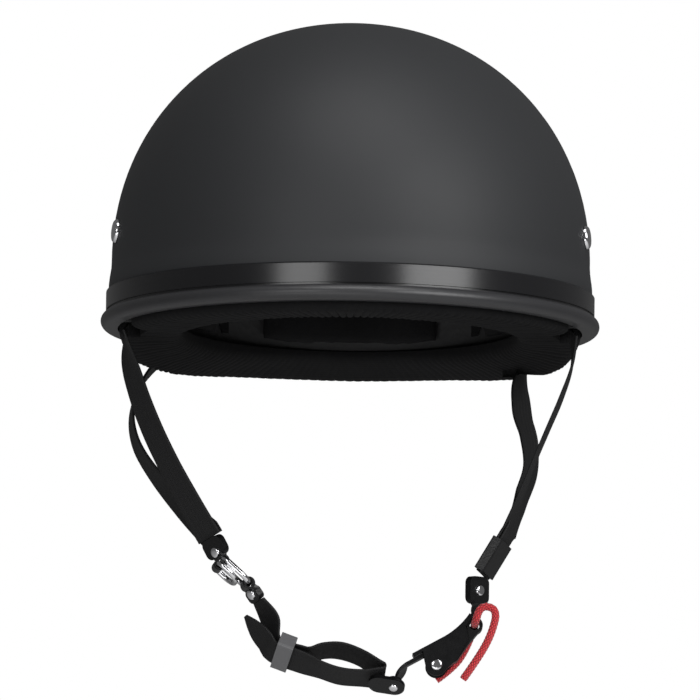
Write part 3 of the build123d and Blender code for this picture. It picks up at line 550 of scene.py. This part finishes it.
# %% The straps' tables
LANE = 0.85
RIGHT_STRAIGHT = 1.4
LEFT_STRAIGHT = 25.5
Strap = namedtuple("Strap", "name start end sideways twists along lane straight body")
HARNESS = [
    Strap(
        "right_front_strap", exit_point(-1, FRONT_EXIT_ANGLE), right_end,
        [0, -4.8, -6.7, -6.8, -5.3, -2.9, 0], [EXIT_TWIST, -26, -35, -38, -39, -42, -45],
        junction_along, -LANE, RIGHT_STRAIGHT, "right_harness",
    ),
    Strap(
        "right_rear_strap", exit_point(-1, REAR_EXIT_ANGLE), right_end,
        [0, -15.8, -24.8, -26.8, -22.1, -12.4, 0], [EXIT_TWIST, 0, -6, -12, -18, -32, -45],
        junction_along, LANE, RIGHT_STRAIGHT, "right_harness",
    ),
    Strap(
        "left_front_strap", exit_point(1, FRONT_EXIT_ANGLE), left_end,
        [0, 4.4, 4.6, 3.2, 1.8, 0.8, 0], [-EXIT_TWIST, 0, 4, 4, 4, 8, 18],
        keeper_along, -LANE, LEFT_STRAIGHT, "left_harness",
    ),
    Strap(
        "left_rear_strap", exit_point(1, REAR_EXIT_ANGLE), left_end,
        [0, -3.0, -1.2, 3.6, 5.4, 2.6, 0], [-EXIT_TWIST, 30, 36, 32, 26, 24, 18],
        keeper_along, LANE, LEFT_STRAIGHT, "left_harness",
    ),
]

# %% Straps from their tables
BOW_STEPS = 46
STRAIGHT_STEPS = 8
LOOK_AHEAD = 0.02
LANE_QUICKNESS = 1.5
SETTLING = 6


def bow_end(strap):
    """Where a strap's bow ends and its straight end begins."""
    return strap.end - strap.along * strap.straight


def bow_middle(strap, share):
    """The middle of a strap's bow, at a share of the way down."""
    share = min(max(share, 0.0), 1.0)
    level = strap.start + (bow_end(strap) - strap.start) * share
    return level + Vector((smooth_value(strap.sideways, share), 0.0, 0.0))


def hang(strap):
    """One harness strap: a slack bow down to a straight end."""
    stations = []
    for number in range(BOW_STEPS + 1):
        share = number / BOW_STEPS
        along = (bow_middle(strap, share + LOOK_AHEAD) - bow_middle(strap, share - LOOK_AHEAD)).normalized()
        along = along.lerp(strap.along, max(0.0, share * SETTLING - (SETTLING - 1))).normalized()
        wide = turned_width(along, smooth_value(strap.twists, share))
        lane = along.cross(wide) * strap.lane * min(LANE_QUICKNESS * share, 1.0)
        stations.append((bow_middle(strap, share) + lane, wide, WEBBING_WIDTH))
    middle, wide, _ = stations[-1]
    for number in range(1, STRAIGHT_STEPS + 1):
        step = strap.straight * number / STRAIGHT_STEPS
        stations.append((middle + strap.along * step, wide, WEBBING_WIDTH))
    ribbon(strap.name + "_woven", stations, strap.body, strap.name)


for harness_strap in HARNESS:
    hang(harness_strap)

# %% [markdown]
# ## The chin loop
#
# The chin strap is one ribbon. It goes down from the tab on the rings, through the slider, out to the
# tongue's tab, round the end and back through the slider, and its free end is cut to a point. Separate
# strips would show gaps where they meet, so one list of stations runs the whole way, and a smooth curve is
# walked through it.

# %% Places on the chin loop
SLIDER_LANE = 1.95
SLIDER_TWIST = -36.0
LOOP_TWIST = -26.0
LINK_TWIST = -35.0
LINK_WIDTH = 9.0
BEND_WIDTH = 15.0
BEND_BULGE = 1.4
SLIDER_BACK = 4.8
SLIDER_FRONT = 9.5
RING_BAR = 5.35
RING_SPAN = 16.6
LINK_LENGTH = 9.4
slider_place = front_place(-30.0, 157.0)
slider_along = heading(-20.0)
slider_start = slider_place - slider_along * SLIDER_BACK
slider_out = slider_place + slider_along * SLIDER_FRONT
slider_wide = turned_width(slider_along, SLIDER_TWIST)
slider_face = slider_along.cross(slider_wide)
loop_end = front_place(17.0, 167.3)
loop_along = heading(-8.0)
loop_wide = turned_width(loop_along, SLIDER_TWIST)
loop_face = loop_along.cross(loop_wide)
tail_tip = front_place(-48.5, 138.0)
ring_far = junction + junction_along * RING_BAR + heading(-42.0) * RING_SPAN
link_along = heading(-55.0)
link_end = ring_far + link_along * LINK_LENGTH
print("chin loop:", round((loop_end - slider_out).length, 1), "mm from slider to tongue tab")

# %% Stations of the chin loop
UPPER_LEG = ((0.25, 4.61), (0.5, 6.4), (0.78, 4.48))
LOWER_LEG = ((0.78, -1.8), (0.5, -3.0), (0.25, -1.8))
TAIL_POINT = ((0.3, 15.4), (0.55, 13.6), (0.8, 8.0), (1.0, 1.6))
END_TURNS = range(90, -91, -30)


def loop_leg(share, lift, side):
    """A station between slider and tongue tab, on the upper leg (1) or the lower one (-1)."""
    middle = slider_out + (loop_end - slider_out) * share + Vector((0, 0, lift))
    middle += slider_face.lerp(loop_face, share) * (side * SLIDER_LANE)
    return middle, turned_width(slider_along.lerp(loop_along, share), LOOP_TWIST), WEBBING_WIDTH


def chin_stations():
    """Middle, width direction and width along the whole loop."""
    upper = slider_face * SLIDER_LANE
    bend = (link_end + slider_start) * 0.5 + heading(35.0) * BEND_BULGE
    rows = [
        (link_end, turned_width(link_along, LINK_TWIST), LINK_WIDTH),
        (bend + upper, turned_width(heading(-60.0), SLIDER_TWIST), BEND_WIDTH),
        (slider_start + upper, slider_wide, WEBBING_WIDTH),
        (slider_out + upper, slider_wide, WEBBING_WIDTH),
    ]
    rows += [loop_leg(share, lift, 1) for share, lift in UPPER_LEG]
    for turn in END_TURNS:
        round_end = loop_along * cos(radians(turn)) + loop_face * sin(radians(turn))
        rows.append((loop_end + round_end * SLIDER_LANE, loop_wide, WEBBING_WIDTH))
    rows += [loop_leg(share, lift, -1) for share, lift in LOWER_LEG]
    rows.append((slider_out - upper, slider_wide, WEBBING_WIDTH))
    rows.append((slider_start - upper, slider_wide, WEBBING_WIDTH))
    tail_wide = turned_width((slider_start - tail_tip).normalized(), SLIDER_TWIST)
    for share, width in TAIL_POINT:
        middle = slider_start * (1 - share) + tail_tip * share
        rows.append((middle - upper, slider_wide.lerp(tail_wide, share), width))
    return rows


# %% The loop walked in even steps
CHIN_STEP = 1.6


def walk(rows):
    """Stations a step apart along the smooth curve through a few uneven ones."""
    points, wides, widths = ([row[column] for row in rows] for column in range(3))
    stations = []
    for index in range(len(rows) - 1):
        pieces = max(2, round((points[index + 1] - points[index]).length / CHIN_STEP))
        for piece in range(pieces):
            share = (index + piece / pieces) / (len(rows) - 1)
            stations.append(tuple(smooth_value(values, share) for values in (points, wides, widths)))
    stations.append(rows[-1])
    return stations


ribbon("chin_web_woven", walk(chin_stations()), "right_harness", "chin_web")

# %% [markdown]
# ## Red cord
#
# The pull cord is limp and plaited. It comes up behind the buckle, goes through the lever's eye and falls
# back over the front. Strands modelled one by one would be finer than a pixel, so a round section swells
# where strands cross, and the valleys between them are darkened as painted shade.

# %% Plaited red
PLAIT_PITCH = 2.1
PLAIT_SLOPE = 1.3
cord_red = Paint("red_cord", (0.72, 0.012, 0.02), 0.55, Sheen_Weight=0.3)
plait_across, plait_along = cord_red.across_and_along()
one_way = (plait_along + plait_across * PLAIT_SLOPE).ridge(PLAIT_PITCH)
other_way = (plait_along - plait_across * PLAIT_SLOPE).ridge(PLAIT_PITCH)
plait_and_valley_shade = one_way * other_way
# Painted shade: darker red in the valleys between strands, brightest where they cross.
cord_red.tint(plait_and_valley_shade, (0.26, 0.001, 0.004), (0.9, 0.03, 0.045))
cord_red.bump(plait_and_valley_shade, 0.5, 0.8)
print("red cord: strands cross every", PLAIT_PITCH, "mm")

# %% The cord's route
CORD_ROUTE = [
    (44.6, 16.5, -168.5), (53.0, 15.8, -162.3), (58.6, 15.3, -154.0), (62.8, 15.3, -142.8),
    (62.8, -7.3, -142.8), (65.6, -9.4, -133.6), (73.9, -9.0, -135.6), (71.2, -8.0, -147.2),
    (65.6, -6.6, -158.2), (57.4, -5.2, -169.8),
]
ROUTE_RESOLUTION = 24


def route_points():
    """Points along the route's spline, in millimetres."""
    data = bpy.data.curves.new("cord_route", "CURVE")
    data.dimensions = "3D"
    data.resolution_u = ROUTE_RESOLUTION
    spline = data.splines.new("NURBS")
    spline.points.add(len(CORD_ROUTE) - 1)
    for point, place in zip(spline.points, CORD_ROUTE):
        point.co = (*(value * METRES for value in place), 1.0)
    spline.order_u = 3
    spline.use_endpoint_u = True
    guide = bpy.data.objects.new("cord_route", data)
    bpy.context.collection.objects.link(guide)
    mesh = bpy.data.meshes.new_from_object(guide.evaluated_get(bpy.context.evaluated_depsgraph_get()))
    points = [vertex.co / METRES for vertex in mesh.vertices]
    bpy.data.meshes.remove(mesh)
    bpy.data.objects.remove(guide)
    return points


def even_walk(points, step):
    """The same line with evenly spaced points."""
    kept = [points[0]]
    need = step
    for start, end in zip(points, points[1:]):
        length = (end - start).length
        done = 0.0
        while length - done >= need:
            done += need
            kept.append(start.lerp(end, done / length))
            need = step
        need -= length - done
    kept.append(points[-1])
    return kept


# %% The cord's plaited section
CORD_DIAMETER = 3.9
CORD_STEP = 0.42
CORD_SIDES = 24
STRANDS_EACH_WAY = 3
STRAND_TURN = 1.7
LOW_REACH = 0.97
CROSSING_RISE = 0.07
END_TAPER = 0.82


def plaited_sections(middles):
    """Round sections along a line, raised where the strands of one way cross those of the other."""
    radius = CORD_DIAMETER / 2
    last = len(middles) - 1
    up = Vector((0.0, 0.0, 1.0))
    run = 0.0
    sections = []
    for number, middle in enumerate(middles):
        before = middles[max(number - 1, 0)]
        along = (middles[min(number + 1, last)] - before).normalized()
        up = (up - along * up.dot(along)).normalized()
        side = along.cross(up)
        run += (middle - before).length
        taper = 1.0 if number < last else END_TAPER
        section = []
        for corner in range(CORD_SIDES):
            turn = 2 * pi * corner / CORD_SIDES
            strand, shift = STRANDS_EACH_WAY * turn, run * STRAND_TURN
            reach = radius * taper * (LOW_REACH + CROSSING_RISE * sin(strand + shift) * sin(strand - shift))
            section.append((middle + (up * cos(turn) + side * sin(turn)) * reach, (turn * radius, run)))
        sections.append(section)
    return sections


# %% The cord, with its length printed
def pull_cord():
    """The plaited cord through the lever's eye."""
    middles = even_walk(route_points(), CORD_STEP)
    cord = make_piece("pull_cord_braid", plaited_sections(middles), cord_red, "release_lever")
    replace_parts(cord, "pull_cord")
    length = sum((b - a).length for a, b in zip(middles, middles[1:]))
    tuple(middles[0] * METRES)
    [tuple(point * METRES) for point in middles]
    print("pull cord:", round(length, 1), "mm long,", CORD_DIAMETER, "mm thick")


pull_cord()

# %% [markdown]
# ## The padded roll
#
# Cloth is gathered over the foam's edge, which leaves fine pleats that run inward. In the photograph the
# roll is thin along the front and hangs lower from the ears back. A remeshed cushion would lose pleats this
# fine, so the roll is one section carried round the rim's oval. Two tables give how low its outer and inner
# edges hang, from the front through the side to the nape, and a ripple puffs the cloth up between the
# gathers.

# %% The roll's section and how low it hangs
ROLL_OUTER = 5.6
ROLL_INNER = 36.4
ROLL_TOP = 2.1
HANG_OUTER = [-4.9, -4.9, -4.9, -4.9, -4.9, -4.9, -5.2, -12.2, -14.6, -14.0, -12.0, -11.4, -11.4]
HANG_INNER = [-4.9, -4.9, -4.9, -4.9, -4.9, -4.9, -4.9, -5.5, -5.5, -4.5, -3.0, -2.0, -2.0]
SECTION_SHARES = [
    (0.0, 1.0), (0.0, 0.7), (0.0, 0.45), (0.02, 0.24), (0.07, 0.08), (0.15, 0.0), (0.3, -0.02), (0.5, 0.0),
    (0.7, -0.02), (0.85, 0.0), (0.93, 0.1), (0.98, 0.3), (1.0, 0.55), (1.0, 1.0), (0.66, 1.0), (0.33, 1.0),
]
print("roll:", len(SECTION_SHARES), "points a section, lowest", min(HANG_OUTER), "mm")

# %% [markdown]
# The straps come out past the roll, and the right rear one swings through its edge. So near a strap the
# cloth is drawn inward behind it: wide and deep high up, where the strap's root turns, and less low down.

# %% Room for the straps
STRAP_REACH = 60.0
HIGH_UP = -5.8
NOTCH_SOFTNESS = 2.4
HIGH_NOTCH = (18.4, 7.6)
LOW_NOTCH = (12.4, 6.2)


def strap_room(place, edge, out, depth):
    """A depth at which the roll leaves the straps free."""
    tangent = Vector((-out.y, out.x, 0.0))
    half_width, clearance = HIGH_NOTCH if place.z > HIGH_UP else LOW_NOTCH
    for strap in HARNESS:
        fall = strap.start.z - bow_end(strap).z
        middle = bow_middle(strap, (strap.start.z - place.z) / fall)
        if (middle - edge).length > STRAP_REACH:
            continue
        near = abs((middle - place).dot(tangent))
        give = max(0.0, min(1.0, (half_width - near) / NOTCH_SOFTNESS))
        need = (edge - middle).dot(out) + clearance
        if depth < need:
            depth += (need - depth) * give
    return depth


# %% How full the cloth stands between gathers
PLEATS = 150
PLEAT_STEPS = 6
PLEAT_ROUNDNESS = 0.6
SLOW_RIPPLE = 0.25
SLOW_WAVES = (17, 29)
SLOW_PHASE = 1.0
FULLNESS = 0.8
NAPE_FLATNESS = 0.5
NAPE_FROM = 0.65
NAPE_RUN = 0.25
PUFF_FADE = 1.6


def gather(turn, back):
    """How far the cloth puffs up at an angle round the rim, in millimetres."""
    first, second = SLOW_WAVES
    slow = SLOW_RIPPLE * sin(first * turn) * sin(second * turn + SLOW_PHASE)
    ripple = abs(sin(PLEATS * turn / 2)) ** PLEAT_ROUNDNESS + slow
    fullness = FULLNESS - NAPE_FLATNESS * min(1.0, max(0.0, (back - NAPE_FROM) / NAPE_RUN))
    return (1 - ripple) * fullness


# %% The roll round the rim
CLOTH_ACROSS = 31.0
CLOTH_AROUND = 130.0


def roll_section(turn):
    """The roll's section at an angle round the rim."""
    c, s = cos(turn), sin(turn)
    out = Vector((c / RIM_RADIUS, s / HALF_LENGTH, 0.0)).normalized()
    edge = Vector((RIM_RADIUS * c, HALF_LENGTH * s, 0.0))
    back = 0.5 + atan2(s, abs(c)) / pi
    hang_outer = smooth_value(HANG_OUTER, back)
    hang_inner = smooth_value(HANG_INNER, back)
    section = []
    for across_share, up_share in SECTION_SHARES:
        bottom = hang_outer + (hang_inner - hang_outer) * across_share
        puff = gather(turn, back) * (1 - min(1.0, max(0.0, up_share) * PUFF_FADE))
        lift = Vector((0, 0, bottom + (ROLL_TOP - bottom) * up_share + puff))
        depth = ROLL_OUTER + (ROLL_INNER - ROLL_OUTER) * across_share
        depth = strap_room(edge - out * depth + lift, edge, out, depth)
        section.append((edge - out * depth + lift, (across_share * CLOTH_ACROSS, turn * CLOTH_AROUND)))
    return section


def padded_roll():
    """A ring of padding under the foam's edge, gathered in pleats."""
    steps = PLEATS * PLEAT_STEPS
    sections = [roll_section(2 * pi * number / steps) for number in range(steps)]
    roll = make_piece("rim_roll_pleated", sections, lining_cloth, "helmet", closed=True)
    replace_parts(roll, "rim_roll")


padded_roll()

# %% [markdown]
# ## Sewn pads
#
# Five pads of cloth over soft foam line the inside, with channels sewn across them. Each one starts from
# its plain solid, which already has the channels. Remeshed and blown up as cloth, it swells between them,
# as stuffing does. A point may move by less than a millimetre, so that the pads keep the room for the head.

# %% A copy with even faces
PAD_NODES = ("brow_pad", "right_side_pad", "left_side_pad", "nape_pad", "crown_pad")
PAD_VOXEL = 0.0035
PAD_SMOOTHING = 3


def even_copy(name):
    """A remeshed copy of a pad's solid."""
    piece = bpy.data.objects.new(name + "_sewn", nodes[name].data.copy())
    bpy.context.collection.objects.link(piece)
    bpy.context.view_layer.objects.active = piece
    piece.data.materials.clear()
    piece.data.materials.append(lining_cloth.material)
    remesh = piece.modifiers.new("remesh", "REMESH")
    remesh.mode = "VOXEL"
    remesh.voxel_size = PAD_VOXEL
    smooth = piece.modifiers.new("smooth", "SMOOTH")
    smooth.factor = 0.5
    smooth.iterations = PAD_SMOOTHING
    with bpy.context.temp_override(object=piece, active_object=piece, selected_objects=[piece]):
        bpy.ops.object.modifier_apply(modifier="remesh")
        bpy.ops.object.modifier_apply(modifier="smooth")
    return piece


# %% Blown up as cloth
PAD_PRESSURE = 4.0
PAD_CAP = 0.0009
CLOTH_QUALITY = 5
CLOTH_FRAMES = 10


def blow_up(piece):
    """Swells a pad by cloth under pressure, with a cap on how far each point moves."""
    rest = [vertex.co.copy() for vertex in piece.data.vertices]
    cloth = piece.modifiers.new("cloth", "CLOTH")
    cloth.settings.use_pressure = True
    cloth.settings.uniform_pressure_force = PAD_PRESSURE
    cloth.settings.effector_weights.gravity = 0.0
    cloth.settings.quality = CLOTH_QUALITY
    scene = bpy.context.scene
    for number in range(1, CLOTH_FRAMES + 1):
        scene.frame_set(number)
    shaped = piece.evaluated_get(bpy.context.evaluated_depsgraph_get())
    moved = [vertex.co.copy() for vertex in shaped.data.vertices]
    piece.modifiers.remove(cloth)
    scene.frame_set(1)
    for vertex, start, end in zip(piece.data.vertices, rest, moved):
        shift = end - start
        if shift.length > PAD_CAP:
            shift *= PAD_CAP / shift.length
        vertex.co = start + shift


# %% The five pads
def sew(name):
    """A cloth-covered pad in place of a plain one."""
    piece = even_copy(name)
    blow_up(piece)
    for face in piece.data.polygons:
        face.use_smooth = True
    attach(piece, "helmet")
    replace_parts(piece, name)
    print(piece.name + ":", len(piece.data.polygons), "faces")


for pad_name in PAD_NODES:
    sew(pad_name)

# %% [markdown]
# ## Light
#
# A black object is drawn by what it reflects. A broad softbox at the front right gives the shell its wide
# highlight and the moulding its bright streak. A smaller one at the left answers it, one from above rounds
# the crown, and a long low one lifts the harness and the roll out of the dark.


# %% Softboxes
def area_light(name, place, target, size, power):
    """A rectangular softbox aimed at a point, with the lamp level."""
    data = bpy.data.lights.new(name, "AREA")
    data.shape = "RECTANGLE"
    data.size, data.size_y = size
    data.energy = power
    lamp = bpy.data.objects.new(name, data)
    lamp.location = place
    lamp.rotation_euler = (Vector(target) - Vector(place)).to_track_quat("-Z", "Y").to_euler()
    bpy.context.collection.objects.link(lamp)
    print(name + ":", power, "W")


area_light("key_box", (1.45, -1.35, 0.7), (0, 0, 0.03), (1.4, 1.3), 36.0)
area_light("left_box", (-0.85, -1.75, 0.3), (0, 0, 0.02), (0.9, 0.6), 8.0)
area_light("top_box", (0.1, -0.7, 1.6), (0, 0, 0.05), (1.2, 0.8), 16.0)
area_light("low_box", (-0.5, -1.5, -0.8), (0, 0, -0.02), (1.6, 0.4), 5.0)

# %% [markdown]
# ## Surround and floor
#
# The photograph's background is plain white, but the room that the helmet reflects is much darker. So the
# surround is white for the camera alone, and lights the object with a weak even glow. The floor is pale and
# plain, far enough below that the harness hangs free of it.

# %% White for the camera
GLOW = 0.12
WHITE = 1.0


def surround():
    """A weak even glow, and plain white where the camera looks past the object."""
    world = bpy.data.worlds.new("surround")
    bpy.context.scene.world = world
    world.use_nodes = True
    tree = world.node_tree
    background = tree.nodes["Background"]
    background.inputs["Color"].default_value = (1.0, 1.0, 1.0, 1.0)
    path = add_node(tree, "ShaderNodeLightPath", {}, {})
    camera_ray = Field(tree, path.outputs["Is Camera Ray"])
    seen = camera_ray.maths("MAXIMUM", Field(tree, path.outputs["Is Transmission Ray"]))
    level = add_node(tree, "ShaderNodeMapRange", {}, {"Value": seen, "To Min": GLOW, "To Max": WHITE})
    tree.links.new(level.outputs["Result"], background.inputs["Strength"])
    print("surround: glow", GLOW)


surround()

# %% Pale floor
FLOOR_REACH = 6.0
FLOOR_HEIGHT = -1.05


def pale_floor():
    """A plain floor well under the helmet."""
    mesh = bmesh.new()
    low = Matrix.Translation((0.0, 0.0, FLOOR_HEIGHT))
    bmesh.ops.create_grid(mesh, x_segments=1, y_segments=1, size=FLOOR_REACH, matrix=low)
    data = bpy.data.meshes.new("floor")
    mesh.to_mesh(data)
    mesh.free()
    data.materials.append(Paint("floor", (0.82, 0.82, 0.82), 0.9).material)
    piece = bpy.data.objects.new("floor", data)
    bpy.context.collection.objects.link(piece)
    print("floor:", 2 * FLOOR_REACH, "m wide, at", FLOOR_HEIGHT, "m")


pale_floor()
bpy.context.scene.view_settings.view_transform = "Standard"
